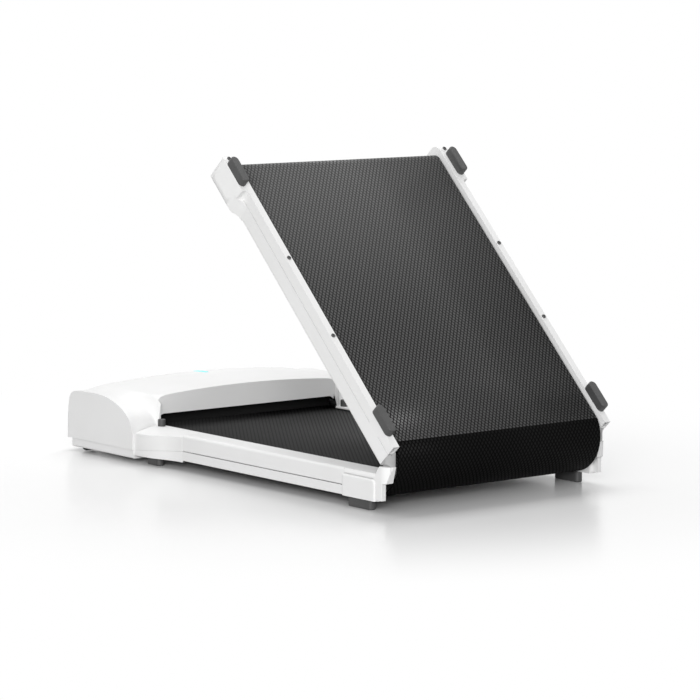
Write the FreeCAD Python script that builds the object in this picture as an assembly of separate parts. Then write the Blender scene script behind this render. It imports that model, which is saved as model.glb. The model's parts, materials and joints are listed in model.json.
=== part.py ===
import FreeCAD, Part
import math
import os

os.makedirs("parts", exist_ok=True)

# A folding walking pad, half folded. Millimetres, +X to the walker's right, +Y towards the hood, +Z up.
# The pad is drawn from its hinge axis: Y counts from the axis and Z from the floor. A depth counts from
# the hinge axis towards the underside of each half. The rear half is drawn folded shut, then opened.

# Driving dimensions of the whole pad
front_length = 820.0
rail_half_width = 236.5
hinge_height = 61.5
hood_height = 123.5
hood_length = 193.0
fold_angle = 45.6
fold_gap = 1.0
hood_overhang = 22.0
shoulder_overhang = 17.5
cap_overhang = 15.5
overrun = 2.0
running_clearance = 0.05
contact_gap = 0.3

# Side rails and the covers that clip over them
rail_width = 12.5
rail_wall = 2.0
front_foot_height = 17.5
rear_foot_height = 14.6
seam_share = 0.4715
seam_gap = 1.2
seam_tab_before = 12.0
seam_tab_after = 16.0
lip_drop = 0.5
lip_thickness = 2.5
lip_overlap = 27.0
cover_round = 5.0
rear_rail_start = 18.5
rear_rail_inset = 18.0
rail_tongue_reach = 48.0
rail_tongue_share = 0.455
rail_tongue_rise = 3.0
rail_tongue_thickness = 7.0

# Walking belt, decks and rollers
belt_side_gap = 4.0
belt_thickness = 2.0
belt_drop = 6.0
roller_share = 0.2431
roller_side_gap = 1.0
drive_roller_share = 0.316
drive_shaft_radius = 6.0
rear_roller_inset = 29.5
rear_axle_radius = 5.0
guide_radius = 8.7
guide_y = 33.0
guide_journal_radius = 4.0
guide_journal_depth = 4.0
fold_bulge = 10.5
deck_share = 0.195
deck_side_gap = 8.0
deck_hinge_gap = 62.0
deck_roller_gap = 28.0
cushion_share = 0.065
cushion_length = 40.0
cushion_width = 18.0
cushion_side_share = 0.8
cross_share = 0.195
cross_width = 24.0
cross_wall = 1.6
front_cross_shares = (0.17, 0.5, 0.83)
rear_cross_shares = (0.15, 0.5, 0.85)

# Hinge between the halves
hinge_pin_radius = 4.0
hinge_pin_cover = 4.5
arm_thickness = 5.0
arm_length = 110.0
knuckle_belt_gap = 2.5
ear_gap = 0.5
cup_centre_y = 6.0
cup_rise = 12.5
cup_fall = 14.0
cup_low_rear = 4.5
cup_low_front = 6.0
cup_crest = 9.0
cup_front = 17.5
neck_inset = 1.5
block_front = 98.0
post_front = 14.0
post_rear = 2.0
post_bottom = 20.0
flange_proud = 3.5
flange_drop = 7.5
flange_round = 6.0
housing_proud = 5.5
housing_length = 80.0
housing_drop = 9.0
housing_edge = 4.0
housing_step = 0.8
housing_corner_radius = 8.0
# The neck's outline from the cup to the rail's end: shares of the rail's distance to the axis.
neck_front_shares = (0.11, -0.36)
neck_low_shares = (-0.354, 0.128)
neck_back_shares = (0.067, 0.897)
neck_high_shares = (0.781, 1.597)
neck_end_shares = (1.0, 1.78)
neck_step_shares = (0.54, 0.757)

# Feet and bumpers
hinge_foot_length = 58.0
hinge_foot_width = 15.0
hinge_foot_y = 65.0
hinge_foot_inset = 8.5
front_foot_setback = 33.0
front_foot_length = 36.0
front_foot_width = 15.0
front_foot_inset = 21.0
rear_foot_length = 53.0
rear_foot_width = 15.0
rear_foot_low_y = 66.0
rear_foot_low_inset = 5.0
rear_foot_high_setback = 46.0
rear_foot_high_inset = 12.0
foot_edge = 2.0
bumper_radius = 6.5
bumper_height = 12.0
bumper_inset = 16.0
bumper_setback = 10.5
bumper_edge = 1.5

# Shoulders that widen the rails towards the hood
shoulder_length = 110.0
shoulder_flare = 94.0
shoulder_bottom = 14.0
shoulder_roof_inset = 8.0
shoulder_roof_fall = 8.5
shoulder_belt_clearance = 2.0
shoulder_wall_gap = 0.2
hood_seam = 23.0

# Hood shell and tray
hood_crown_rise = 15.0
hood_wall = 3.0
hood_corner_radius = 9.0
visor_inset = 38.5
visor_setback = 8.0
visor_clearance = 17.2
mouth_corner_radius = 14.0
tray_bottom = 8.0
tray_inset = 2.5
tray_setback = 11.5
tray_wall = 3.0
tray_rear_drop = 6.0
tray_edge = 3.0

# The hood's top: shares of its length from the rear and of its height above the seam, over the visor
# and beside it, where a quarter round falls to the shoulder.
crown_shares = ((-0.02, 0.938), (0.0, 0.94), (0.3, 0.984), (0.61, 1.0), (0.76, 0.995), (0.875, 0.97),
                (0.915, 0.935), (0.94, 0.86), (0.97, 0.72), (1.02, 0.45))
cheek_shares = ((-0.02, 0.13), (0.0, 0.3), (0.022, 0.49), (0.065, 0.629), (0.12, 0.735), (0.2, 0.834),
                (0.3, 0.92), (0.408, 0.981), (0.61, 1.0), (0.76, 0.995), (0.875, 0.97), (0.915, 0.935),
                (0.94, 0.86), (0.97, 0.72), (1.02, 0.45))
hood_row_shares = (-0.015, 0.0, 0.008, 0.02, 0.04, 0.065, 0.1, 0.15, 0.2, 0.27, 0.35, 0.43, 0.52, 0.61,
                   0.7, 0.78, 0.84, 0.88, 0.91, 0.93, 0.95, 0.98, 1.015)
hood_inner_columns = 6
hood_outer_columns = 12
visor_blend_start = 6.0
visor_blend = 44.0
visor_blend_length = 60.0
# The hood's front face, in the same shares.
nose_shares = (0.932, 0.86)
front_arc_shares = (0.972, 0.43)
front_low_shares = (1.0, 0.0)

# Status light in the hood's crest
light_length = 38.0
light_width = 9.0
light_share = 0.742
light_depth = 13.0
light_proud = 0.4
light_board_margin = 3.0
light_board_thickness = 1.6

# Drive inside the hood
bracket_thickness = 3.0
bracket_front_inset = 15.0
bracket_rear_share = 0.132
bracket_side_gap = 10.0
cheek_plate_thickness = 3.5
cheek_plate_length = 80.0
cheek_plate_drop = 4.5
bearing_radius = 13.0
pulley_face = 12.0
pulley_side_gap = 1.5
driven_pulley_radius = 22.0
motor_pulley_radius = 10.0
pulley_rim = 3.5
pulley_web = 4.0
pulley_bore_wall = 4.0
drive_belt_thickness = 3.0
drive_belt_margin = 1.0
motor_share = 0.726
motor_rise_share = 0.428
motor_radius_share = 0.358
motor_side_gap = 10.0
motor_length = 140.0
motor_shaft_radius = 5.0
motor_end_cap = 10.0
motor_end_step = 3.0
saddle_thickness = 10.0
saddle_inset = 22.0
saddle_edge = 6.0
fan_inset = 4.0
fan_thickness = 12.0
fan_gap = 6.0
fan_hub_radius = 10.0
fan_plate = 2.0
fan_blade = 2.0
fan_blade_count = 9
sink_side_gap = 18.0
sink_length = 142.0
sink_rear_share = 0.568
sink_panel_gap = 7.4
sink_base = 4.0
sink_height = 18.0
sink_fin = 2.0
sink_fin_count = 11
board_thickness = 1.6
board_overhang = 3.0
capacitor_radius = 9.0
capacitor_height = 30.0
capacitor_shares = (0.2, 0.36)
choke_length = 34.0
choke_height = 22.0
choke_share = 0.7

# Mains panel in the hood's front wall
panel_share = -0.5
panel_width = 110.0
panel_height = 26.0
panel_rise = 21.0
panel_depth = 21.0
panel_recess = 6.5
socket_width = 24.0
socket_height = 15.0
socket_depth = 18.0
socket_share = -0.28
blade_width = 2.0
blade_height = 6.0
blade_length = 12.0
blade_pitch = 7.0
rocker_share = 0.14
rocker_width = 16.0
rocker_half_height = 7.0
rocker_depth = 7.0
rocker_gap = 0.6
rocker_swing_gap = 2.5
rocker_dish_radius = 28.0
rocker_pivot_radius = 2.0
rocker_pivot_length = 2.0
button_share = 0.36
button_radius = 4.5
button_length = 15.0
button_travel = 3.0
button_inset = 0.6

# Transport wheels under the hood's front corners
wheel_radius = 17.0
wheel_width = 20.0
wheel_inset = 26.5
wheel_setback = 35.5
wheel_floor_gap = 1.0
wheel_edge = 2.0
wheel_well_gap = 1.5
wheel_stub_radius = 4.0
wheel_ear_thickness = 4.0
wheel_ear_half_length = 9.0
wheel_ear_rise = 9.0
wheel_groove_depth = 1.2
wheel_groove_share = 0.2

# Rear end caps and belt tension
cap_length = 106.0
cap_flare = 42.0
cap_step_delay = 17.0
cap_step_flare = 14.0
cap_end_round = 24.0
cap_bulge = 6.0
cap_low_round = 15.0
cap_lean = 4.5
cap_lean_depth = 13.0
cap_edge_round = 15.0
cap_lip_setback = 10.0
cap_tongue = 30.0
cap_wall_gap = 0.2
tension_bolt_radius = 3.0
tension_head_radius = 5.0
tension_head = 4.0
tension_inset = 2.0

# Screws
screw_head_radius = 3.6
screw_head = 1.4
screw_radius = 2.0
screw_length = 8.0
screw_socket_radius = 1.8
screw_socket_depth = 0.8
rear_screw_shares = (0.385, 0.6414)
front_screw_shares = (0.26, 0.62)
cap_screw_setback = 12.5
cap_screw_inset = 15.0
cap_screw_sink = 0.4
plate_screw_side_gap = 34.0
plate_screw_inset = 12.0

# Worked out from the sizes above: widths
fold = math.radians(fold_angle)
half_fold = fold / 2
hood_half_width = rail_half_width + hood_overhang
shoulder_half_width = rail_half_width + shoulder_overhang
cap_half_width = rail_half_width + cap_overhang
visor_half_width = rail_half_width - visor_inset
rail_inner = rail_half_width - rail_width
belt_half = rail_inner - belt_side_gap
roller_half = belt_half - roller_side_gap
deck_half = belt_half - deck_side_gap
lip_inner = belt_half - lip_overlap
arm_inner = rail_inner + rail_wall
arm_outer = arm_inner + arm_thickness
ear_inner = arm_outer + ear_gap
flange_outer = rail_half_width + flange_proud
pin_end = flange_outer - hinge_pin_cover
housing_outer = rail_half_width + housing_proud
knuckle_inner = belt_half + knuckle_belt_gap
cup_radius = flange_outer - knuckle_inner
cup_rear = cup_radius - cup_centre_y
knuckle_sweep = math.hypot(cup_rear, cup_rise)
tongue_outer = arm_inner + rail_tongue_thickness
rail_screw_x = rail_half_width - rail_width / 2
cap_screw_x = cap_half_width - cap_screw_inset
front_foot_x = shoulder_half_width - front_foot_inset
rear_foot_low_x = rail_half_width - rear_foot_low_inset
rear_foot_high_x = cap_half_width - rear_foot_high_inset
bumper_x = belt_half - bumper_inset
shoulder_roof_break = rail_inner - shoulder_roof_inset
bracket_half_width = rail_inner - bracket_side_gap
pulley_x = rail_half_width + pulley_side_gap
motor_finish = rail_inner - motor_side_gap
motor_start = motor_finish - motor_length
sink_finish = rail_inner - sink_side_gap
sink_start = sink_finish - sink_length
plate_screw_x = rail_inner - plate_screw_side_gap
panel_x = panel_share * rail_half_width
wheel_x = hood_half_width - wheel_inset

# Worked out: depths and heights
seam_depth = seam_share * hinge_height
lip_under = lip_drop + lip_thickness
front_rail_depth = hinge_height - front_foot_height
rear_rail_depth = hinge_height - rear_foot_height
roller_radius = roller_share * hinge_height
wrap_radius = roller_radius + contact_gap
roller_depth = belt_drop + belt_thickness + wrap_radius
return_depth = roller_depth + wrap_radius + belt_thickness
guide_wrap_radius = guide_radius + contact_gap
guide_depth = return_depth - belt_thickness - guide_wrap_radius
deck_depth = belt_drop + belt_thickness + contact_gap
cushion_depth = deck_depth + deck_share * hinge_height
cross_depth = cushion_depth + cushion_share * hinge_height
cross_height = cross_share * hinge_height
rail_tongue_low = front_foot_height + rail_tongue_rise
rail_tongue_top = rail_tongue_low + rail_tongue_share * hinge_height
hood_cheek_height = hood_height - hood_crown_rise
hood_rise = hood_height - hood_seam
visor_bottom = hinge_height + visor_clearance
plate_low = tray_bottom + tray_wall
plate_top = plate_low + bracket_thickness
cheek_plate_top = hinge_height - cheek_plate_drop
motor_z = hood_seam + motor_rise_share * hood_rise
motor_radius = motor_radius_share * hood_rise
fan_radius = motor_radius - fan_inset
saddle_half_width = motor_radius - saddle_edge
panel_z = hood_seam + panel_rise
wheel_z = wheel_radius + wheel_floor_gap

# Worked out: lengths from the hinge axis
hood_rear = front_length - hood_length
rear_length = hood_rear - fold_gap
shoulder_start = hood_rear - shoulder_length
front_foot_y = hood_rear - front_foot_setback
bumper_y = hood_rear - bumper_setback
drive_roller_y = hood_rear + drive_roller_share * hood_length
rail_tongue_finish = drive_roller_y + rail_tongue_reach
light_y = hood_rear + light_share * hood_length
motor_y = hood_rear + motor_share * hood_length
bracket_rear = hood_rear + bracket_rear_share * hood_length
bracket_front = front_length - bracket_front_inset
panel_front = front_length - panel_recess
sink_rear = hood_rear + sink_rear_share * hood_length
sink_front = panel_front - panel_depth - sink_panel_gap
wheel_y = front_length - wheel_setback
rear_rail_finish = rear_length - rear_rail_inset
housing_start = block_front - housing_length - housing_step
rear_roller_y = rear_length - rear_roller_inset
rear_foot_high_y = rear_length - rear_foot_high_setback
cap_start = rear_length - cap_length
cap_step_start = cap_start + cap_step_delay
cap_screw_y = rear_length - cap_screw_setback
rear_tip_y = rear_rail_start * math.cos(fold) - rear_rail_depth * math.sin(fold)
hinge_y = -(front_length + rear_tip_y) / 2
front_span = (deck_hinge_gap, drive_roller_y - deck_roller_gap)
rear_span = (deck_hinge_gap, rear_roller_y - deck_roller_gap)

ORIGIN = FreeCAD.Vector(0, 0, 0)
X_AXIS = FreeCAD.Vector(1, 0, 0)
Y_AXIS = FreeCAD.Vector(0, 1, 0)
HINGE = FreeCAD.Vector(0, 0, hinge_height)


# Small building tools

def front(depth):
    """Height of a depth in the front half, which lies on the floor."""
    return hinge_height - depth


def rear(depth):
    """Height of a depth in the rear half while it is folded shut."""
    return hinge_height + depth


def box(x_pair, y_pair, z_pair):
    low = [min(pair) for pair in (x_pair, y_pair, z_pair)]
    size = [abs(pair[1] - pair[0]) for pair in (x_pair, y_pair, z_pair)]
    return Part.makeBox(*size, FreeCAD.Vector(*low))


def rod(radius, x_pair, y, z):
    start = FreeCAD.Vector(min(x_pair), y, z)
    return Part.makeCylinder(radius, abs(x_pair[1] - x_pair[0]), start, X_AXIS)


def post(radius, x, y, z_pair):
    start = FreeCAD.Vector(x, y, min(z_pair))
    return Part.makeCylinder(radius, abs(z_pair[1] - z_pair[0]), start)


def bolt_along_y(radius, x, z, y_pair):
    start = FreeCAD.Vector(x, min(y_pair), z)
    return Part.makeCylinder(radius, abs(y_pair[1] - y_pair[0]), start, Y_AXIS)


def joined(shapes):
    return shapes[0].multiFuse(shapes[1:]).removeSplitter()


def mirrored(shape):
    return shape.mirror(ORIGIN, X_AXIS)


def both_sides(shapes):
    return shapes + [mirrored(shape) for shape in shapes]


def in_plan(x, y):
    return FreeCAD.Vector(x, y, 0)


def in_side(y, z):
    return FreeCAD.Vector(0, y, z)


def in_section(x, z):
    return FreeCAD.Vector(x, 0, z)


def outline(lift, start, *legs):
    """A closed wire: a leg is an end point, or a point on an arc and the arc's end point."""
    here = lift(*start)
    first = here
    edges = []
    for leg in legs + (start,):
        if isinstance(leg[0], tuple):
            there = lift(*leg[1])
            edges.append(Part.Arc(here, lift(*leg[0]), there).toShape())
        else:
            there = lift(*leg)
            if there.distanceToPoint(here) > Part.Precision.confusion():
                edges.append(Part.LineSegment(here, there).toShape())
        here = there
    assert here.distanceToPoint(first) <= Part.Precision.confusion()
    return Part.Wire(edges)


def prism(wire, pair, axis):
    """The wire's face pulled along an axis from the first to the second place."""
    face = Part.Face(wire)
    face.translate(axis * pair[0])
    return face.extrude(axis * (pair[1] - pair[0]))


def sway(start, end):
    """Two equal arcs from start to end that leave and arrive along the second coordinate."""
    width = end[0] - start[0]
    length = end[1] - start[1]
    radius = (length ** 2 + width ** 2) / (4 * width)
    angle = math.asin(length / 2 / radius)
    across = radius * (1 - math.cos(angle / 2))
    along = radius * math.sin(angle / 2)
    middle = ((start[0] + end[0]) / 2, (start[1] + end[1]) / 2)
    first = ((start[0] + across, start[1] + along), middle)
    second = ((end[0] - across, end[1] - along), end)
    return first, second


def corner(centre, radius, start_angle, end_angle):
    """An arc leg about a centre, with the angles in degrees."""
    turn = [math.radians(angle) for angle in ((start_angle + end_angle) / 2, end_angle)]
    middle, end = [(centre[0] + radius * math.cos(a), centre[1] + radius * math.sin(a)) for a in turn]
    return middle, end


def rounded(shape, radius, chosen):
    edges = [edge for edge in shape.Edges if chosen(edge)]
    return shape.makeFillet(radius, edges)


def pill(x, y, length, width, z_pair, rounded_high):
    """A rubber foot: a bar with half-round ends and one softened face."""
    radius = width / 2
    reach = length / 2 - radius
    bar = box((x - radius, x + radius), (y - reach, y + reach), z_pair)
    ends = [post(radius, x, y + side * reach, z_pair) for side in (-1, 1)]
    shape = joined([bar] + ends)
    level = max(z_pair) if rounded_high else min(z_pair)
    return rounded(shape, foot_edge, lambda edge: edge_lies_at(edge, level))


def edge_lies_at(edge, level):
    box_of_edge = edge.BoundBox
    tolerance = contact_gap / 2
    return abs(box_of_edge.ZMin - level) < tolerance and abs(box_of_edge.ZMax - level) < tolerance


def save(name, shape, opened=False):
    """Opens the rear half to the rest angle, moves the pad over its origin and writes the piece."""
    piece = shape.copy()
    if opened:
        piece.rotate(HINGE, X_AXIS, fold_angle)
    piece.translate(Y_AXIS * hinge_y)
    piece.exportStep(f"parts/{name}.step")


def save_group(name, shapes, opened=False):
    save(name, Part.makeCompound(shapes), opened)


def save_pair(name, shape, opened=False):
    save(name + "_right", shape, opened)
    save(name + "_left", mirrored(shape), opened)


# Rails and their covers

def rail(level, y_pair, depth):
    """A steel rail: a closed lower tube with an upright inner web."""
    web = box((rail_inner, rail_inner + rail_wall), y_pair, (level(lip_under), level(depth)))
    floor = box((rail_inner, rail_half_width), y_pair, (level(depth - rail_wall), level(depth)))
    shelf = box((rail_inner, rail_half_width), y_pair,
                (level(seam_depth), level(seam_depth + rail_wall)))
    skin = box((rail_half_width - rail_wall, rail_half_width), y_pair,
               (level(seam_depth), level(depth)))
    return joined([web, floor, shelf, skin])


def rail_cover(level, y_pair):
    """A plastic cover: a skin down to the seam and a lip over the belt's edge."""
    edge_x = rail_half_width
    inner_x = rail_half_width - lip_thickness
    low = level(seam_depth - seam_gap)
    top = level(lip_drop)
    under = level(lip_under)
    bend = level(lip_drop + cover_round)
    slant = cover_round * (1 - math.sqrt(2) / 2)
    bend_point = (edge_x - slant, level(lip_drop + slant))
    wire = outline(in_section, (edge_x, low), (edge_x, bend), (bend_point, (edge_x - cover_round, top)),
                   (lip_inner, top), (lip_inner, under), (inner_x, under), (inner_x, low))
    return prism(wire, y_pair, Y_AXIS)


def rear_rail_cover():
    """The raised half's cover, with a tongue of its skin that reaches under the end cap."""
    shape = rail_cover(rear, (rear_rail_start, cap_start))
    tongue = box((rail_half_width - rail_wall, rail_half_width),
                 (cap_start - overrun, cap_start + cap_tongue),
                 (rear(lip_under), rear(seam_depth - seam_gap)))
    return joined([shape, tongue])


def front_rail():
    shape = rail(front, (block_front, shoulder_start), front_rail_depth)
    tongue = box((arm_inner, tongue_outer), (shoulder_start - cross_width, rail_tongue_finish),
                 (rail_tongue_low, rail_tongue_top))
    shape = joined([shape, tongue.cut(rail_inside(front, front_rail_depth))])
    shaft_hole = rod(drive_shaft_radius + overrun, (rail_inner, rail_half_width), drive_roller_y,
                     front(roller_depth))
    for hole in [shaft_hole] + front_rail_screw_holes():
        shape = shape.cut(hole)
    return shape


def rail_inside(level, depth):
    """The shelf and floor of a rail as a cutter, so that a tongue fits between them."""
    length = (block_front, shoulder_start)
    shelf = box((rail_inner, rail_half_width), length,
                (level(seam_depth), level(seam_depth + rail_wall)))
    floor = box((rail_inner, rail_half_width), length,
                (level(depth - rail_wall), level(depth + overrun)))
    return shelf.fuse(floor)


def rear_rail():
    shape = rail(rear, (rear_rail_start, rear_rail_finish), rear_rail_depth)
    tab = box((rail_half_width - rail_wall, rail_half_width),
              (rear_foot_low_y - seam_tab_before, rear_foot_low_y + seam_tab_after),
              (rear(seam_depth - seam_gap), rear(seam_depth)))
    shape = joined([shape, tab])
    walls = (rail_inner - overrun, rail_inner + rail_wall + overrun)
    axle_hole = rod(rear_axle_radius, walls, rear_roller_y, rear(roller_depth))
    journal_hole = rod(guide_journal_radius + running_clearance, walls, guide_y, rear(guide_depth))
    shape = shape.cut(axle_hole).cut(journal_hole)
    for share in rear_screw_shares:
        shape = shape.cut(screw_hole(rail_screw_x, share * rear_length, rear(rear_rail_depth)))
    return shape


# Screws

def screw(x, y, z, up):
    """A button-head screw standing on a face at z; up is 1 where the head is above that face."""
    head = post(screw_head_radius, x, y, (z, z + up * screw_head))
    shank = post(screw_radius, x, y, (z, z - up * screw_length))
    socket = post(screw_socket_radius, x, y, (z + up * screw_head,
                                              z + up * (screw_head - screw_socket_depth)))
    return joined([head, shank]).cut(socket)


def screw_hole(x, y, z):
    return post(screw_radius, x, y, (z - screw_length, z + screw_length))


def front_rail_screw_places():
    span = shoulder_start - block_front
    return [block_front + share * span for share in front_screw_shares]


def front_rail_screw_holes():
    return [screw_hole(rail_screw_x, y, front_foot_height) for y in front_rail_screw_places()]


def plate_screw_places():
    return [bracket_rear + plate_screw_inset, sink_rear - plate_screw_inset]


def front_screws():
    shapes = [screw(rail_screw_x, y, front_foot_height, -1) for y in front_rail_screw_places()]
    shapes += [screw(plate_screw_x, y, tray_bottom, -1) for y in plate_screw_places()]
    return both_sides(shapes)


def rear_screws():
    level = rear(rear_rail_depth)
    shapes = [screw(rail_screw_x, share * rear_length, level, 1) for share in rear_screw_shares]
    shapes.append(screw(cap_screw_x, cap_screw_y, level - cap_screw_sink, 1))
    return both_sides(shapes)


# Hinge

def hinge_block():
    """The front half's corner casting: flange, foot housing, and the post whose cup holds the pin."""
    length = (post_front, block_front)
    body = box((rail_inner, rail_half_width), length, (front_foot_height, front(lip_drop)))
    lip = box((lip_inner, rail_half_width), length, (front(lip_under), front(lip_drop)))
    shape = joined([body, lip, hinge_flange(), hinge_post(), groove_corner(), foot_housing()])
    pin_hole = rod(hinge_pin_radius, (ear_inner - overrun, pin_end), 0, hinge_height)
    journal_hole = rod(guide_journal_radius + running_clearance,
                       (rail_inner - overrun, journal_end(contact_gap)),
                       guide_y, front(guide_depth))
    sweep = rod(knuckle_sweep + contact_gap, (lip_inner - overrun, ear_inner), 0, hinge_height)
    return shape.cut(pin_hole).cut(journal_hole).cut(sweep)


def hinge_flange():
    """The rounded band along the casting's upper outer edge."""
    shape = box((rail_inner, flange_outer), (post_front - overrun, block_front),
                (front(flange_drop), front(lip_drop)))
    shape = rounded(shape, flange_round, outer_corner)
    top = front(lip_drop)

    def upper_outer(edge):
        return beyond(edge, rail_inner) and edge_lies_at(edge, top)

    return rounded(shape, flange_round, upper_outer)


def hinge_post():
    """An upright behind the foot housing; its upper end is the outer wall of the hinge's cup."""
    width = (ear_inner, flange_outer)
    lower = box(width, (post_rear, post_front + overrun), (post_bottom, hinge_height))
    ledge = front(flange_drop)
    wall = outline(in_side, (-cup_rear, hinge_height + cup_rise), (cup_crest, hinge_height + cup_rise),
                   (cup_front, front(lip_drop)), (cup_front, ledge), (post_front, ledge),
                   (post_front, front(cup_fall)), (-cup_low_rear, front(cup_fall)))
    return joined([lower, prism(wall, width, X_AXIS)]).common(cup_column(0))


def cup_column(inset):
    """An upright column with the cup's plan: round towards the rear and the outside."""
    past = post_front + cup_radius
    radius = cup_radius - inset
    centre = (knuckle_inner, cup_centre_y)
    plan = outline(in_plan, (knuckle_inner, past), (knuckle_inner, cup_centre_y - radius),
                   corner(centre, radius, -90, 0), (knuckle_inner + radius, past))
    return prism(plan, (0, hood_height), FreeCAD.Vector(0, 0, 1))


def foot_housing():
    """The box over the foot, with one large corner towards the post."""
    top = front(housing_drop)
    shape = box((rail_inner, housing_outer), (housing_start, block_front - housing_step),
                (front_foot_height, top))
    shape = shape.cut(housing_corner(0).cut(rod(housing_corner_radius, (0, housing_outer),
                                                *housing_corner_centre())))
    return rounded(shape, housing_edge, outer_corner)


def housing_corner_centre():
    return housing_start + housing_corner_radius, front(housing_drop) - housing_corner_radius


def housing_corner(extra):
    """The square about the housing's large corner."""
    y, z = housing_corner_centre()
    reach = housing_corner_radius + extra
    return box((rail_inner, flange_outer + overrun), (y - reach, y), (z, z + reach))


def groove_corner():
    """Fills the corner outside the groove that turns down between the housing and the post."""
    gap = housing_drop - flange_drop
    shape = housing_corner(gap + overrun).common(box((0, flange_outer), (0, front_length),
                                                     (0, front(flange_drop) + overrun)))
    return shape.cut(rod(housing_corner_radius + gap, (0, housing_outer), *housing_corner_centre()))


def beyond(edge, x):
    return edge.BoundBox.XMin > x


def outer_corner(edge):
    """True for the upright edges that stand out from the rail."""
    bounds = edge.BoundBox
    return beyond(edge, rail_half_width) and bounds.ZLength > bounds.XLength + bounds.YLength


def journal_end(extra):
    return rail_inner + guide_journal_depth + extra


def hinge_arm():
    """The rear half's arm: a plate in the rail, a neck, and the knuckle that fills the cup at rest."""
    plate = box((arm_inner, arm_outer), (rear_rail_start - overrun, arm_length),
                (rear(lip_under), rear(seam_depth)))
    bore = rod(hinge_pin_radius + running_clearance, (knuckle_inner - overrun, arm_outer + overrun),
               0, hinge_height)
    return joined([plate, hinge_neck(), hinge_knuckle()]).cut(bore)


def hinge_neck():
    """The stretch between the cup and the rail's end, as wide as the rail above the cup's wall."""
    def placed(*places):
        points = [(share[0] * rear_rail_start, rear(share[1] * rear_rail_start)) for share in places]
        return outline(in_side, (rear_rail_start, rear(lip_under)), *points)

    back = (neck_back_shares, neck_high_shares, neck_end_shares)
    narrow = placed(neck_front_shares, neck_low_shares, *back)
    wide = placed(neck_step_shares, *back)
    shape = joined([prism(narrow, (knuckle_inner, arm_outer), X_AXIS),
                    prism(wide, (knuckle_inner, rail_half_width), X_AXIS)])
    shape.rotate(HINGE, X_AXIS, fold_angle)
    shape = shape.common(cup_column(neck_inset))
    shape.rotate(HINGE, X_AXIS, -fold_angle)
    return shape


def hinge_knuckle():
    """The inner part of the cup, drawn at the rest angle: it turns with the rear half."""
    rim = hinge_height + cup_rise
    side = outline(in_side, (-cup_rear, rim), (cup_crest, rim), (cup_low_front, front(cup_fall)),
                   (-cup_low_rear, front(cup_fall)))
    shape = prism(side, (knuckle_inner, arm_outer), X_AXIS).common(cup_column(0))
    shape.rotate(HINGE, X_AXIS, -fold_angle)
    return shape


def hinge_pins():
    return both_sides([rod(hinge_pin_radius, (knuckle_inner, pin_end), 0, hinge_height)])


# Feet and bumpers

def hinge_feet():
    x = housing_outer - hinge_foot_inset - hinge_foot_width / 2
    return both_sides([pill(x, hinge_foot_y, hinge_foot_length, hinge_foot_width,
                            (0, front_foot_height), False)])


def front_feet():
    height = (0, shoulder_bottom)
    return both_sides([pill(front_foot_x, front_foot_y, front_foot_length, front_foot_width, height,
                            False)])


def rear_feet():
    height = (rear(rear_rail_depth), rear(hinge_height))
    places = ((rear_foot_low_x, rear_foot_low_y), (rear_foot_high_x, rear_foot_high_y))
    return both_sides([pill(x, y, rear_foot_length, rear_foot_width, height, True) for x, y in places])


def fold_bumpers():
    low = front(lip_drop)
    shape = post(bumper_radius, bumper_x, bumper_y, (low, low + bumper_height))
    top = low + bumper_height
    return both_sides([rounded(shape, bumper_edge, lambda edge: edge_lies_at(edge, top))])


# Shoulders

def shoulder_plan():
    """The widening outline, seen from above."""
    flare = sway((rail_half_width, shoulder_start),
                 (shoulder_half_width, shoulder_start + shoulder_flare))
    return outline(in_plan, (lip_inner, shoulder_start), (rail_half_width, shoulder_start), *flare,
                   (shoulder_half_width, hood_rear), (lip_inner, hood_rear))


def shoulder_roof():
    """Everything under the roof line, which falls outwards to make room for the rear end caps."""
    top = front(lip_drop)
    past = shoulder_half_width + overrun
    slope = shoulder_roof_fall / (shoulder_half_width - shoulder_roof_break)
    wire = outline(in_section, (0, 0), (past, 0), (past, top - slope * (past - shoulder_roof_break)),
                   (shoulder_roof_break, top), (0, top))
    return prism(wire, (0, front_length), Y_AXIS)


def above_shoulder_seam():
    """Everything above the seam, which falls from the rail's seam to the hood's."""
    low = front(seam_depth)
    wire = outline(in_side, (shoulder_start, low), (hood_rear, hood_seam), (hood_rear, hood_height),
                   (shoulder_start, hood_height))
    return prism(wire, (0, hood_half_width), X_AXIS)


def shoulder_hollow():
    """Room for the belt, the rail's end and its tongue."""
    length = (shoulder_start - overrun, hood_rear + overrun)
    belt_room = box((0, rail_inner), length, (0, front(belt_drop) + shoulder_belt_clearance))
    tongue_room = box((0, tongue_outer + shoulder_wall_gap), length,
                      (0, rail_tongue_top + shoulder_wall_gap))
    return belt_room.fuse(tongue_room)


def shoulder_cover():
    shape = prism(shoulder_plan(), (hood_seam, hood_height), FreeCAD.Vector(0, 0, 1))
    return shape.common(shoulder_roof()).common(above_shoulder_seam()).cut(shoulder_hollow())


def shoulder_base():
    shape = prism(shoulder_plan(), (shoulder_bottom, hood_height), FreeCAD.Vector(0, 0, 1))
    return shape.cut(above_shoulder_seam()).cut(shoulder_hollow())


# Hood

def level_along(points, share):
    """The height share at a length share, on straight lines between the points."""
    for (start, low), (end, high) in zip(points, points[1:]):
        if share <= end:
            break
    return low + (high - low) * (share - start) / (end - start)


def hood_level(x, y, inset):
    """Height of the hood's top, or of the room under it where an inset is given."""
    share = (y - hood_rear - inset) / (hood_length - 2 * inset)
    arch = hood_crown_rise * (1 - (x / hood_half_width) ** 2)
    crown = (hood_cheek_height + arch - hood_seam) * level_along(crown_shares, share)
    cheek = (hood_cheek_height - hood_seam) * level_along(cheek_shares, share)
    behind_visor = y - hood_rear - inset - visor_setback
    ramp = min(1, max(0, behind_visor / visor_blend_length))
    width = visor_blend_start + (visor_blend - visor_blend_start) * ramp
    away = min(1, max(0, (abs(x) - visor_half_width + inset) / width))
    ease = away * away * (3 - 2 * away)
    return hood_seam - inset + crown + (cheek - crown) * ease


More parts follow.
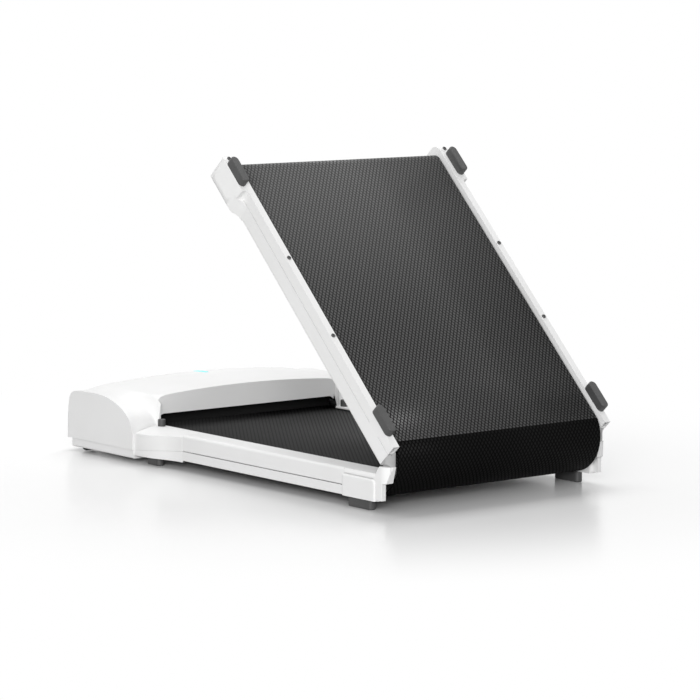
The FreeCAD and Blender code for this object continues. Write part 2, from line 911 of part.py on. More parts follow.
def hood_columns():
    """Places across the hood, close together where the visor's side falls away."""
    inner = [visor_half_width * index / hood_inner_columns for index in range(hood_inner_columns)]
    reach = hood_half_width + overrun - visor_half_width
    steps = [index / hood_outer_columns for index in range(hood_outer_columns + 1)]
    half = inner + [visor_half_width + reach * step * (1 + step) / 2 for step in steps]
    return [-x for x in half[:0:-1]] + half


def under_hood_top(inset):
    """All that lies under the hood's top, which is one smooth sheet over a net of places."""
    rows = [hood_rear + share * hood_length for share in hood_row_shares]
    net = [[FreeCAD.Vector(x, y, hood_level(x, y, inset)) for y in rows] for x in hood_columns()]
    degree = 3
    counts = [len(net), len(rows)]
    knots = [[index / (count - degree) for index in range(count - degree + 1)] for count in counts]
    repeats = [[degree + 1] + [1] * (count - degree - 1) + [degree + 1] for count in counts]
    sheet = Part.BSplineSurface()
    sheet.buildFromPolesMultsKnots(net, *repeats, *knots, False, False, degree, degree)
    return sheet.toShape().extrude(FreeCAD.Vector(0, 0, -2 * hood_height))


def behind_hood_front(inset):
    """All that lies behind the hood's front face."""
    low, arc, nose = [(hood_rear + shares[0] * hood_length - inset, hood_seam + shares[1] * hood_rise)
                      for shares in (front_low_shares, front_arc_shares, nose_shares)]
    above = (2 * nose[0] - arc[0], 2 * nose[1] - arc[1])
    back = hood_rear + inset
    wire = outline(in_side, (back, hood_seam), low, (arc, nose), above, (back, above[1]))
    reach = hood_half_width + overrun
    return prism(wire, (-reach, reach), X_AXIS)


def hood_plan(inset, front_y):
    """The hood seen from above, with its front corners rounded."""
    edge_x = hood_half_width - inset
    radius = hood_corner_radius - inset
    centre = (edge_x - radius, front_y - radius)
    back = hood_rear - overrun
    right = corner(centre, radius, 0, 90)
    left = corner((-centre[0], centre[1]), radius, 90, 180)
    return outline(in_plan, (-edge_x, back), (edge_x, back), (edge_x, centre[1]), right,
                   (-centre[0], front_y), left)


def hood_solid(inset):
    """The hood's outer form, or its inside where an inset is given."""
    up = FreeCAD.Vector(0, 0, 1)
    plan = prism(hood_plan(inset, front_length - inset), (0, 2 * hood_height), up)
    shape = behind_hood_front(inset).common(plan).common(under_hood_top(inset))
    reach = visor_half_width - inset
    return shape.cut(box((-reach, reach), (hood_rear - overrun, hood_rear + inset + visor_setback),
                         (0, 2 * hood_height)))


def hood_cover():
    shape = hood_solid(0).cut(hood_solid(hood_wall))
    shape = shape.cut(belt_mouth()).cut(tongue_passage())
    return shape.cut(light_pill(hood_height - light_depth,
                                hood_height + overrun)).cut(panel_body(panel_recess))


def visor_wall_length():
    """Where the walls under the visor start and end, with room to cut through them."""
    return hood_rear - overrun, hood_rear + visor_setback + hood_wall + overrun


def belt_mouth():
    """The opening under the visor, with rounded upper corners."""
    radius = mouth_corner_radius
    centre = (visor_half_width - radius, visor_bottom - radius)
    right = corner(centre, radius, 0, 90)
    left = corner((-centre[0], centre[1]), radius, 90, 180)
    wire = outline(in_section, (-visor_half_width, 0), (visor_half_width, 0),
                   (visor_half_width, centre[1]), right, (-centre[0], visor_bottom), left)
    return prism(wire, visor_wall_length(), Y_AXIS)


def tongue_passage():
    """Openings in the hood's rear wall for the rails' tongues and the belt's edges."""
    length = visor_wall_length()
    tongue = box((0, tongue_outer + shoulder_wall_gap), length,
                 (0, rail_tongue_top + shoulder_wall_gap))
    belt_room = box((0, rail_inner), length, (0, front(belt_drop) + shoulder_belt_clearance))
    one_side = tongue.fuse(belt_room)
    return one_side.fuse(mirrored(one_side))


def light_pill(low, high):
    radius = light_width / 2
    reach = light_length / 2 - radius
    bar = box((-radius, radius), (light_y - reach, light_y + reach), (low, high))
    return joined([bar] + [post(radius, 0, light_y + side * reach, (low, high)) for side in (-1, 1)])


def status_light_lens():
    """A lens that follows the hood's crest and stands a little proud of it."""
    raised = hood_solid(0)
    raised.translate(FreeCAD.Vector(0, 0, light_proud))
    return light_pill(hood_height - light_depth, hood_height + overrun).common(raised)


def light_board():
    reach_x = light_width / 2 + light_board_margin
    reach_y = light_length / 2 + light_board_margin
    top = hood_height - light_depth
    return box((-reach_x, reach_x), (light_y - reach_y, light_y + reach_y),
               (top - light_board_thickness, top))


def hood_tray():
    """The tray that closes the hood from below, with wells and ears for the wheels."""
    up = FreeCAD.Vector(0, 0, 1)
    front_y = hood_rear + front_low_shares[0] * hood_length - tray_setback
    outer = prism(hood_plan(tray_inset, front_y), (tray_bottom, hood_seam), up)
    outer = rounded(outer, tray_edge, lambda edge: edge_lies_at(edge, tray_bottom))
    hollow = prism(hood_plan(tray_inset + tray_wall, front_y - tray_wall),
                   (plate_low, hood_seam + overrun), up)
    hollow = hollow.cut(box((-hood_half_width, hood_half_width), (0, hood_rear + tray_wall),
                            (0, hood_height)))
    shape = outer.cut(hollow)
    behind = box((-hood_half_width, hood_half_width), (0, hood_rear), (0, hood_height))
    gap_top = front(return_depth) - tray_rear_drop
    belt_way = box((-tongue_outer - shoulder_wall_gap, tongue_outer + shoulder_wall_gap),
                   (0, hood_rear + tray_wall + overrun), (gap_top, hood_height))
    shape = shape.cut(behind).cut(belt_way)
    for well in both_sides([wheel_well()]):
        shape = shape.cut(well)
    shape = joined([shape] + both_sides(wheel_ears()))
    for x in (-plate_screw_x, plate_screw_x):
        for y in plate_screw_places():
            shape = shape.cut(screw_hole(x, y, tray_bottom))
    return shape


# Wheels

def wheel_well():
    reach = wheel_radius + wheel_well_gap
    half = wheel_width / 2 + wheel_well_gap
    return box((wheel_x - half, wheel_x + half), (wheel_y - reach, wheel_y + reach),
               (0, hood_seam + overrun))


def wheel_ears():
    near = wheel_width / 2 + wheel_well_gap
    ears = []
    for side in (-1, 1):
        pair = (wheel_x + side * near, wheel_x + side * (near + wheel_ear_thickness))
        ear = box(pair, (wheel_y - wheel_ear_half_length, wheel_y + wheel_ear_half_length),
                  (tray_bottom, wheel_z + wheel_ear_rise))
        ears.append(ear.cut(rod(wheel_stub_radius + running_clearance, pair, wheel_y, wheel_z)))
    return ears


def wheel():
    """A transport wheel with a grooved tread and stub axles."""
    half = wheel_width / 2
    tread = rod(wheel_radius, (wheel_x - half, wheel_x + half), wheel_y, wheel_z)
    tread = rounded(tread, wheel_edge, lambda edge: edge.BoundBox.ZLength > wheel_radius)
    groove_half = wheel_groove_share * half
    groove_pair = (wheel_x - groove_half, wheel_x + groove_half)
    groove = rod(wheel_radius + overrun, groove_pair, wheel_y, wheel_z)
    groove = groove.cut(rod(wheel_radius - wheel_groove_depth, groove_pair, wheel_y, wheel_z))
    reach = half + wheel_well_gap + wheel_ear_thickness
    stub = rod(wheel_stub_radius, (wheel_x - reach, wheel_x + reach), wheel_y, wheel_z)
    return joined([tread.cut(groove), stub])


# Belt and what it runs over

def belt_loop(level, y_pair, roller_y):
    """One half's belt: its top and return runs and the turn about the end roller."""
    inner = loop_fill(level, y_pair, roller_y, wrap_radius, overrun)
    return loop_fill(level, y_pair, roller_y, wrap_radius + belt_thickness, 0).cut(inner)


def loop_fill(level, y_pair, roller_y, radius, extra):
    width = (-belt_half - extra, belt_half + extra)
    middle = level(roller_depth)
    run = box(width, (y_pair - extra, roller_y), (middle - radius, middle + radius))
    return joined([run, rod(radius, width, roller_y, middle)])


def opened_point(y, depth):
    """A place in the rear half, given as it lies folded shut, after the half is opened."""
    across = y * math.cos(fold) - depth * math.sin(fold)
    return across, hinge_height + y * math.sin(fold) + depth * math.cos(fold)


def about(centre, radius, direction):
    return centre[0] + radius * math.cos(direction), centre[1] + radius * math.sin(direction)


def fold_inner():
    """The belt's top run at the hinge: flat on both halves and turned about the hinge axis."""
    near, far = belt_drop, belt_drop + belt_thickness
    axis = (0, hinge_height)
    middle = math.pi + half_fold
    wire = outline(in_side, (guide_y, front(near)), (0, front(near)),
                   (about(axis, near, middle), opened_point(0, near)), opened_point(guide_y, near),
                   opened_point(guide_y, far), opened_point(0, far),
                   (about(axis, far, middle), (0, front(far))), (guide_y, front(far)))
    return prism(wire, (-belt_half, belt_half), X_AXIS)


def fold_outer():
    """The belt's return run at the hinge: round both guide rollers and bowed out between them."""
    low = (guide_y, front(guide_depth))
    high = opened_point(guide_y, guide_depth)
    along = guide_y * math.cos(half_fold) - guide_depth * math.sin(half_fold)
    spread = guide_y * math.sin(half_fold) + guide_depth * math.cos(half_fold)
    turn = guide_wrap_radius + belt_thickness
    rise = along + fold_bulge
    bow = (spread ** 2 + rise ** 2 - turn ** 2) / (2 * (rise - turn))
    centre_along = bow - fold_bulge
    centre = about((0, hinge_height), centre_along, half_fold)
    lean = math.atan2(spread, centre_along - along)
    outward = math.pi + half_fold
    down = math.pi * 3 / 2
    up = math.pi / 2 + fold

    def side(shrink):
        """The points of one face of the belt, from the front roller to the rear one."""
        small, large = turn - shrink, bow - shrink
        low_join = outward + lean
        high_join = outward - lean
        return [about(low, small, down), about(low, small, (down + low_join) / 2),
                about(low, small, low_join),
                about(centre, large, outward), about(high, small, high_join),
                about(high, small, (high_join + up) / 2), about(high, small, up)]

    out = side(0)
    back = side(belt_thickness)[::-1]
    wire = outline(in_side, out[0], (out[1], out[2]), (out[3], out[4]), (out[5], out[6]), back[0],
                   (back[1], back[2]), (back[3], back[4]), (back[5], back[6]))
    return prism(wire, (-belt_half, belt_half), X_AXIS)


def deck(level, y_pair):
    return box((-deck_half, deck_half), y_pair, (level(deck_depth), level(cushion_depth)))


def cross_places(y_pair, shares):
    return [y_pair[0] + share * (y_pair[1] - y_pair[0]) for share in shares]


def cross_members(level, y_pair, shares):
    """Rectangular steel tubes from rail to rail, inside the belt loop."""
    shapes = []
    for y in cross_places(y_pair, shares):
        pair = (y - cross_width / 2, y + cross_width / 2)
        heights = (level(cross_depth), level(cross_depth + cross_height))
        tube = box((-rail_inner, rail_inner), pair, heights)
        inner_pair = (pair[0] + cross_wall, pair[1] - cross_wall)
        inner_heights = (min(heights) + cross_wall, max(heights) - cross_wall)
        shapes.append(tube.cut(box((-rail_inner, rail_inner), inner_pair, inner_heights)))
    return shapes


def cushions(level, y_pair, shares):
    """Rubber blocks between the cross members and the deck."""
    shapes = []
    for y in cross_places(y_pair, shares):
        for share in (-cushion_side_share, 0, cushion_side_share):
            x = share * deck_half
            shapes.append(box((x - cushion_length / 2, x + cushion_length / 2),
                              (y - cushion_width / 2, y + cushion_width / 2),
                              (level(cushion_depth), level(cross_depth))))
    return shapes


def guide_roller(level):
    """A small roller with journals that run in the hinge block or the rail."""
    body = rod(guide_radius, (-roller_half, roller_half), guide_y, level(guide_depth))
    reach = journal_end(0) if level is front else rail_inner + rail_wall - contact_gap
    return joined([body, rod(guide_journal_radius, (-reach, reach), guide_y, level(guide_depth))])


def drive_roller():
    body = rod(roller_radius, (-roller_half, roller_half), drive_roller_y, front(roller_depth))
    shaft = rod(drive_shaft_radius, (-tongue_outer, pulley_x + pulley_face), drive_roller_y,
                front(roller_depth))
    return joined([body, shaft])


def rear_roller():
    body = rod(roller_radius, (-roller_half, roller_half), rear_roller_y, rear(roller_depth))
    return body.cut(rod(rear_axle_radius + running_clearance, (-belt_half, belt_half), rear_roller_y,
                        rear(roller_depth)))


def rear_axle():
    reach = rail_half_width - rail_wall - contact_gap
    return rod(rear_axle_radius, (-reach, reach), rear_roller_y, rear(roller_depth))


# Drive

def drive_bearings():
    pair = (roller_half + roller_side_gap, arm_inner)
    outer = rod(bearing_radius, pair, drive_roller_y, front(roller_depth))
    bore = rod(drive_shaft_radius + running_clearance, pair, drive_roller_y, front(roller_depth))
    return both_sides([outer.cut(bore)])


def motor_bracket():
    """The base plate with cheek plates for the drive roller and saddles for the motor."""
    middle = drive_roller_y + cheek_plate_length / 2
    wide = box((-arm_inner, arm_inner), (bracket_rear, middle), (plate_low, plate_top))
    narrow = box((-bracket_half_width, bracket_half_width), (middle - overrun, bracket_front),
                 (plate_low, plate_top))
    shape = joined([wide, narrow] + both_sides([cheek_plate()]) + motor_saddles())
    for x in (-plate_screw_x, plate_screw_x):
        for y in plate_screw_places():
            shape = shape.cut(screw_hole(x, y, plate_low))
    return shape


def cheek_plate():
    half = cheek_plate_length / 2
    plate = box((arm_inner - cheek_plate_thickness, arm_inner),
                (drive_roller_y - half, drive_roller_y + half),
                (plate_low, cheek_plate_top))
    plate = plate.cut(box((0, arm_inner), (0, bracket_rear), (0, hood_height)))
    return plate.cut(rod(bearing_radius, (0, rail_half_width), drive_roller_y, front(roller_depth)))


def motor_saddles():
    saddles = []
    for x in (motor_start + saddle_inset, motor_finish - saddle_inset - saddle_thickness):
        block = box((x, x + saddle_thickness), (motor_y - saddle_half_width,
                                                motor_y + saddle_half_width),
                    (plate_low, motor_z))
        saddles.append(block.cut(rod(motor_radius, (x - overrun, x + saddle_thickness + overrun),
                                     motor_y, motor_z)))
    return saddles


def motor_body():
    """A motor can between two stepped end bells."""
    can = rod(motor_radius, (motor_start + motor_end_cap, motor_finish - motor_end_cap), motor_y,
              motor_z)
    bells = rod(motor_radius - motor_end_step, (motor_start, motor_finish), motor_y, motor_z)
    bore = rod(motor_shaft_radius + running_clearance,
               (motor_start - overrun, motor_finish + overrun), motor_y, motor_z)
    return joined([can, bells]).cut(bore)


def motor_shaft():
    start = motor_start - fan_gap - fan_thickness
    return rod(motor_shaft_radius, (start, pulley_x + pulley_face), motor_y, motor_z)


def pulley(radius, bore, y, z):
    """A flat-faced pulley, dished where its rim is large enough."""
    pair = (pulley_x, pulley_x + pulley_face)
    shape = rod(radius, pair, y, z)
    hub = bore + pulley_bore_wall
    if radius - pulley_rim > hub:
        middle = pulley_x + pulley_face / 2
        for dish in ((pulley_x, middle - pulley_web / 2),
                     (middle + pulley_web / 2, pulley_x + pulley_face)):
            shape = shape.cut(rod(radius - pulley_rim, dish, y, z).cut(rod(hub, dish, y, z)))
    return shape.cut(rod(bore, pair, y, z))


def driven_pulley():
    return pulley(driven_pulley_radius, drive_shaft_radius, drive_roller_y, front(roller_depth))


def motor_pulley():
    return pulley(motor_pulley_radius, motor_shaft_radius, motor_y, motor_z)


def tangent_loop(extra):
    """The outline of a belt about both pulleys, at a distance from their rims."""
    low = (drive_roller_y, front(roller_depth))
    high = (motor_y, motor_z)
    large = driven_pulley_radius + extra
    small = motor_pulley_radius + extra
    heading = math.atan2(high[1] - low[1], high[0] - low[0])
    lean = math.acos((large - small) / math.dist(low, high))
    return outline(in_side, about(low, large, heading + lean),
                   (about(low, large, heading + math.pi), about(low, large, heading - lean)),
                   about(high, small, heading - lean),
                   (about(high, small, heading), about(high, small, heading + lean)))


def drive_belt():
    pair = (pulley_x + drive_belt_margin, pulley_x + pulley_face - drive_belt_margin)
    outer = prism(tangent_loop(contact_gap + drive_belt_thickness), pair, X_AXIS)
    return outer.cut(prism(tangent_loop(contact_gap), pair, X_AXIS))


def motor_fan():
    """A cooling fan: a back plate and radial blades about a hub."""
    finish = motor_start - fan_gap
    start = finish - fan_thickness
    hub = rod(fan_hub_radius, (start, finish), motor_y, motor_z)
    plate = rod(fan_radius, (start, start + fan_plate), motor_y, motor_z)
    blades = []
    for index in range(fan_blade_count):
        blade = box((start, finish), (motor_y, motor_y + fan_radius), (motor_z, motor_z + fan_blade))
        blade.rotate(FreeCAD.Vector(0, motor_y, motor_z), X_AXIS, index * 360 / fan_blade_count)
        blades.append(blade)
    shape = joined([hub, plate] + blades).common(rod(fan_radius, (start, finish), motor_y, motor_z))
    return shape.cut(rod(motor_shaft_radius, (start, finish), motor_y, motor_z))


def heat_sink():
    """A finned aluminium block that stands on the base plate and carries the controller board."""
    pair = (-sink_finish, -sink_start)
    top = plate_top + sink_height
    base = box(pair, (sink_rear, sink_front), (plate_top, plate_top + sink_base))
    pitch = (sink_finish - sink_start - sink_fin) / (sink_fin_count - 1)
    fins = []
    for index in range(sink_fin_count):
        x = pair[0] + index * pitch
        fins.append(box((x, x + sink_fin), (sink_rear, sink_front), (plate_top, top)))
    return joined([base] + fins)


def controller_board():
    """The motor controller: a board with capacitors and a choke."""
    low = plate_top + sink_height
    top = low + board_thickness
    x_pair = (-sink_finish - board_overhang, -sink_start + board_overhang)
    y_pair = (sink_rear - board_overhang, sink_front + board_overhang)
    length = x_pair[1] - x_pair[0]
    middle = (y_pair[0] + y_pair[1]) / 2
    shapes = [box(x_pair, y_pair, (low, top))]
    for share in capacitor_shares:
        shapes.append(post(capacitor_radius, x_pair[0] + share * length, middle,
                           (low, top + capacitor_height)))
    x = x_pair[0] + choke_share * length
    half = choke_length / 2
    shapes.append(box((x - half, x + half), (middle - half, middle + half), (low, top + choke_height)))
    return joined(shapes)


# Mains panel

def panel_body(extra):
    half_width = panel_width / 2
    half_height = panel_height / 2
    return box((panel_x - half_width, panel_x + half_width),
               (panel_front - panel_depth, panel_front + extra),
               (panel_z - half_height, panel_z + half_height))


def power_inlet():
    """The mains panel: an inlet socket, the rocker's well and the breaker's bore."""
    x = panel_x + socket_share * panel_width
    socket = box((x - socket_width / 2, x + socket_width / 2),
                 (panel_front - socket_depth, panel_front + overrun),
                 (panel_z - socket_height / 2, panel_z + socket_height / 2))
    return panel_body(0).cut(socket).cut(rocker_well()).cut(breaker_bore())


def inlet_blades():
    """The three flat contacts that stand on the floor of the inlet socket."""
    middle = panel_x + socket_share * panel_width
    floor = panel_front - socket_depth
    blades = []
    for x in (middle - blade_pitch, middle, middle + blade_pitch):
        blades.append(box((x - blade_width / 2, x + blade_width / 2), (floor, floor + blade_length),
                          (panel_z - blade_height / 2, panel_z + blade_height / 2)))
    return blades


def rocker_x():
    return panel_x + rocker_share * panel_width


def rocker_pivot_y():
    return panel_front - rocker_depth


def rocker_well():
    half = rocker_width / 2 + rocker_gap
    tall = rocker_half_height + rocker_swing_gap
    pocket = box((rocker_x() - half, rocker_x() + half),
                 (rocker_pivot_y() - tall, panel_front + overrun),
                 (panel_z - tall, panel_z + tall))
    reach = half + rocker_pivot_length
    pivot = rod(rocker_pivot_radius + running_clearance, (rocker_x() - reach, rocker_x() + reach),
                rocker_pivot_y(), panel_z)
    return pocket.fuse(pivot)


def power_switch():
    """A rocker with a dished face on a pivot across the panel."""
    half = rocker_width / 2
    pivot_y = rocker_pivot_y()
    drum = rod(rocker_half_height, (rocker_x() - half, rocker_x() + half), pivot_y, panel_z)
    face = box((rocker_x() - half, rocker_x() + half), (pivot_y, pivot_y + rocker_half_height),
               (panel_z - rocker_half_height, panel_z + rocker_half_height))
    dish = rod(rocker_dish_radius, (rocker_x() - half, rocker_x() + half),
               pivot_y + rocker_half_height - rocker_gap + rocker_dish_radius, panel_z)
    reach = half + rocker_gap + rocker_pivot_length - contact_gap
    pivot = rod(rocker_pivot_radius, (rocker_x() - reach, rocker_x() + reach), pivot_y, panel_z)
    return joined([drum, face.cut(dish), pivot])


def breaker_x():
    return panel_x + button_share * panel_width


def breaker_bore():
    depth = button_length + button_travel + contact_gap
    return bolt_along_y(button_radius + running_clearance, breaker_x(), panel_z,
                        (panel_front - depth, panel_front + overrun))


def breaker_button():
    face = panel_front + button_inset
    shape = bolt_along_y(button_radius, breaker_x(), panel_z, (face - button_length, face))
    return rounded(shape, button_inset, lambda edge: edge.BoundBox.YMin > face - button_inset)


# Rear end caps

def cap_plan(start, flare_length):
    """The cap from above: it flares out from the rail and turns round the rail's end."""
    flare = sway((rail_half_width, start), (cap_half_width, start + flare_length))
    centre = (cap_half_width - cap_end_round, rear_length - cap_end_round)
    end = corner(centre, cap_end_round, 0, 90)
    return outline(in_plan, (rail_inner, start), (rail_half_width, start), *flare,
                   (cap_half_width, centre[1]), end, (rail_inner, rear_length))


def cap_side():
    """The cap from the side: it swells on the walking side and rounds down to the end."""
    low = rear(rear_rail_depth)
    swell = sway((rear(lip_drop), cap_start), (rear(-cap_bulge), cap_start + cap_flare))
    swell = tuple(((via[1], via[0]), (end[1], end[0])) for via, end in swell)
    top_centre = (rear_length - cap_end_round, rear(cap_end_round - cap_bulge))
    low_centre = (rear_length - cap_low_round, low - cap_low_round)
    return outline(in_side, (cap_start, low), (cap_start, rear(lip_drop)), *swell,
                   (top_centre[0], rear(-cap_bulge)), corner(top_centre, cap_end_round, -90, 0),
                   (rear_length, low_centre[1]), corner(low_centre, cap_low_round, 0, 90))


def cap_section():
    """The cap from its end: a face that meets the shoulder's roof, a round edge and a leaning side."""
    top = rear(lip_drop)
    lean_start = rear(cap_lean_depth)
    slope = shoulder_roof_fall / (shoulder_half_width - shoulder_roof_break)
    round_x = cap_half_width - cap_edge_round
    round_z = top - slope * (round_x - shoulder_roof_break)
    bend = (cap_half_width - cap_edge_round * (1 - math.sqrt(2) / 2),
            round_z + cap_edge_round * (1 - math.sqrt(2) / 2))
    steepness = cap_lean / (rear_rail_depth - cap_lean_depth)
    reach = cap_half_width - steepness * (hinge_height - cap_lean_depth)
    high = rear(hinge_height)
    wire = outline(in_section, (0, high), (reach, high), (cap_half_width, lean_start),
                   (cap_half_width, round_z + cap_edge_round), (bend, (round_x, round_z)),
                   (shoulder_roof_break, top), (0, top))
    return prism(wire, (0, front_length), Y_AXIS)


def rear_end_cap():
    up = FreeCAD.Vector(0, 0, 1)
    split = rear(seam_depth - seam_gap)
    long_flare = prism(cap_plan(cap_start, cap_flare), (0, split), up)
    steep_flare = prism(cap_plan(cap_step_start, cap_step_flare), (split, rear(hinge_height)), up)
    shape = joined([long_flare, steep_flare])
    shape = shape.common(prism(cap_side(), (0, hood_half_width), X_AXIS)).common(cap_section())
    lip = box((lip_inner, rail_half_width), (cap_start, rear_rail_finish - cap_lip_setback),
              (rear(lip_drop), rear(lip_under)))
    room = box((0, rail_half_width + cap_wall_gap),
               (cap_start - overrun, rear_rail_finish + cap_wall_gap),
               (rear(lip_under), rear(hinge_height)))
    shape = joined([shape.cut(room), lip])
    for bolt in tension_bolt_parts():
        shape = shape.cut(bolt)
    seat = rear(rear_rail_depth) - cap_screw_sink
    sink = post(screw_head_radius + contact_gap, cap_screw_x, cap_screw_y, (seat, rear(hinge_height)))
    return shape.cut(sink).cut(screw_hole(cap_screw_x, cap_screw_y, seat))


def tension_bolt_parts():
    """Shank and head of the bolt that pulls the rear axle back."""
    x = arm_inner + tension_bolt_radius + contact_gap
    z = rear(roller_depth)
    tip = rear_roller_y + rear_axle_radius
    end = rear_length - tension_inset
    shank = bolt_along_y(tension_bolt_radius, x, z, (tip, end))
    head = bolt_along_y(tension_head_radius, x, z, (end - tension_head, end))
    return shank, head


def tension_bolts():
    shank, head = tension_bolt_parts()
    return both_sides([joined([shank, head])])


def write_parts():
    save_pair("front_rail", front_rail())
    save_pair("front_rail_cover", rail_cover(front, (block_front, shoulder_start)))
    save_pair("shoulder_cover", shoulder_cover())
    save_group("shoulder_bases", both_sides([shoulder_base()]))
    save("hood_cover", hood_cover())
    save("hood_tray", hood_tray())
    save("status_light_lens", status_light_lens())
    save("light_board", light_board())
    save_pair("hinge_block", hinge_block())
    save_group("hinge_pins", hinge_pins())
    save_group("hinge_feet", hinge_feet())
    save_group("front_feet", front_feet())
    save_group("fold_bumpers", fold_bumpers())
    save("front_deck", deck(front, front_span))
    save_group("front_deck_cushions", cushions(front, front_span, front_cross_shares))
    save_group("front_cross_members", cross_members(front, front_span, front_cross_shares))
    save("motor_bracket", motor_bracket())
    save("motor_body", motor_body())
    save_group("drive_bearings", drive_bearings())
    save("heat_sink", heat_sink())
    save("controller_board", controller_board())
    save("power_inlet", power_inlet())
    save_group("inlet_blades", inlet_blades())
    save_group("front_screws", front_screws())
    save("drive_belt", drive_belt())
    save("belt_front", belt_loop(front, guide_y, drive_roller_y))
    save("belt_fold_inner", fold_inner())
    save("belt_fold_outer", fold_outer())

    save_pair("rear_rail", rear_rail(), True)
    save_pair("rear_rail_cover", rear_rail_cover(), True)
    save_pair("rear_end_cap", rear_end_cap(), True)
    save_pair("hinge_arm", hinge_arm(), True)
    save_group("rear_feet", rear_feet(), True)
    save("rear_deck", deck(rear, rear_span), True)
    save_group("rear_deck_cushions", cushions(rear, rear_span, rear_cross_shares), True)
    save_group("rear_cross_members", cross_members(rear, rear_span, rear_cross_shares), True)
    save("belt_rear", belt_loop(rear, guide_y, rear_roller_y), True)
    save("rear_axle", rear_axle(), True)
    save_group("tension_bolts", tension_bolts(), True)
    save_group("rear_screws", rear_screws(), True)

    save("drive_roller", drive_roller())
    save("driven_pulley", driven_pulley())
    save("motor_shaft", motor_shaft())
    save("motor_pulley", motor_pulley())
    save("motor_fan", motor_fan())
    save("rear_roller", rear_roller(), True)
    save("front_guide_roller", guide_roller(front))
    save("rear_guide_roller", guide_roller(rear), True)
    save_pair("wheel", wheel())
    save("power_switch", power_switch())
    save("breaker_button", breaker_button())


write_parts()
print("hinge axis", round(hinge_y, 3), hinge_height)
print("drive roller axis", round(hinge_y + drive_roller_y, 3), round(front(roller_depth), 3))
print("motor axis", round(hinge_y + motor_y, 3), motor_z)
print("rear roller axis", [round(v, 3) for v in opened_point(rear_roller_y, roller_depth)])
print("front guide axis", round(hinge_y + guide_y, 3), round(front(guide_depth), 3))
print("rear guide axis", [round(v, 3) for v in opened_point(guide_y, guide_depth)])
print("wheel axis", round(hinge_y + wheel_y, 3), wheel_z)
print("rocker axis", round(rocker_x(), 3), round(hinge_y + rocker_pivot_y(), 3), panel_z)
print("breaker", round(breaker_x(), 3), round(hinge_y + panel_front, 3))
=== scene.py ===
# %% [markdown]
# # A folding walking pad, half folded
# The pad is an under-desk treadmill that folds in half about a hinge. Its front half, with the motor
# hood, stands on the floor; its rear half is raised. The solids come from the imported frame, in metres,
# and this lesson dresses them: soft moulded edges, a woven belt, rubber feet, a studio.

# %% Load the frame
import json
import math

import bmesh
import bpy
from mathutils import Matrix, Vector


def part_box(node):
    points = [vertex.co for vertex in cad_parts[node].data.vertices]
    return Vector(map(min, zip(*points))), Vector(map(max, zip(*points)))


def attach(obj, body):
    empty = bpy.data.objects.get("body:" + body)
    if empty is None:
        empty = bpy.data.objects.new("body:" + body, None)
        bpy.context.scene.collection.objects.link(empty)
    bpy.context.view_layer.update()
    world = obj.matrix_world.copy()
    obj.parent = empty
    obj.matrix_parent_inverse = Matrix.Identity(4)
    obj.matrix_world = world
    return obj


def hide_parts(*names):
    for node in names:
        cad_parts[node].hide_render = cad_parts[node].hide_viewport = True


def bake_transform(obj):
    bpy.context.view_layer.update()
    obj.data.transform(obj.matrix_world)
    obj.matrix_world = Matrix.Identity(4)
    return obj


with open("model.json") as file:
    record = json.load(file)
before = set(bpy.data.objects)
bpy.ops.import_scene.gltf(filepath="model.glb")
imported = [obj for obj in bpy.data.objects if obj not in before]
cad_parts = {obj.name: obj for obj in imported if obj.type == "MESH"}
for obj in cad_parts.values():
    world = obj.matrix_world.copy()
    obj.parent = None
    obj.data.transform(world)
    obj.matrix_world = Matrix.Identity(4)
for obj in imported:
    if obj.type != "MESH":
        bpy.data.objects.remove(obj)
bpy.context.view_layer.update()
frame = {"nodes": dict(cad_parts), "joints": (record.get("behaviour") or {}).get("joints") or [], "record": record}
scene = bpy.context.scene
slot_of = {part["node"]: part["material_slot"] for part in frame["record"]["subparts"]}
bodies = frame["record"]["behaviour"]["bodies"]
body_of = {node: body for body, nodes in bodies.items() for node in nodes}
joint_at = {joint["name"]: Vector(joint["pos_m"]) for joint in frame["joints"] if "pos_m" in joint}


# %% [markdown]
# ## Sums on sockets
# A material is a graph of nodes, and a formula such as `0.5 + 0.2 * grain` would need several lines of
# node making. A small class wraps an output socket instead and overloads the operators, so each sum on
# values adds its own Math node. Numbers alone are worked out in Python. A second class makes the nodes,
# for the materials and, at the end, for the world.

# %% A value in a graph
class Value:
    def __init__(self, graph, socket):
        self.graph = graph
        self.socket = socket

    def sum(self, operation, first, second=None):
        inputs = {0: first} if second is None else {0: first, 1: second}
        return self.graph.node("ShaderNodeMath", {"operation": operation}, inputs)

    def __add__(self, other):
        return self.sum("ADD", self, other)

    def __sub__(self, other):
        return self.sum("SUBTRACT", self, other)

    def __rsub__(self, other):
        return self.sum("SUBTRACT", other, self)

    def __mul__(self, other):
        return self.sum("MULTIPLY", self, other)

    def __truediv__(self, other):
        return self.sum("DIVIDE", self, other)

    def __pow__(self, other):
        return self.sum("POWER", self, other)

    def __mod__(self, other):
        return self.sum("FLOORED_MODULO", self, other)

    def __abs__(self):
        return self.sum("ABSOLUTE", self)

    def larger(self, other):
        return self.sum("MAXIMUM", self, other)

    def smaller(self, other):
        return self.sum("MINIMUM", self, other)

    def sine(self):
        return self.sum("SINE", self)

    def eased(self, low, high):
        """0 below low, 1 above high and smooth between."""
        settings = {"interpolation_type": "SMOOTHSTEP"}
        return self.graph.node("ShaderNodeMapRange", settings, {0: self, 1: low, 2: high})

    __radd__ = __add__
    __rmul__ = __mul__


# %% A graph, the one method that makes its nodes, and a material
plain_rays = ("Is Camera Ray", "Is Glossy Ray", "Is Transmission Ray")


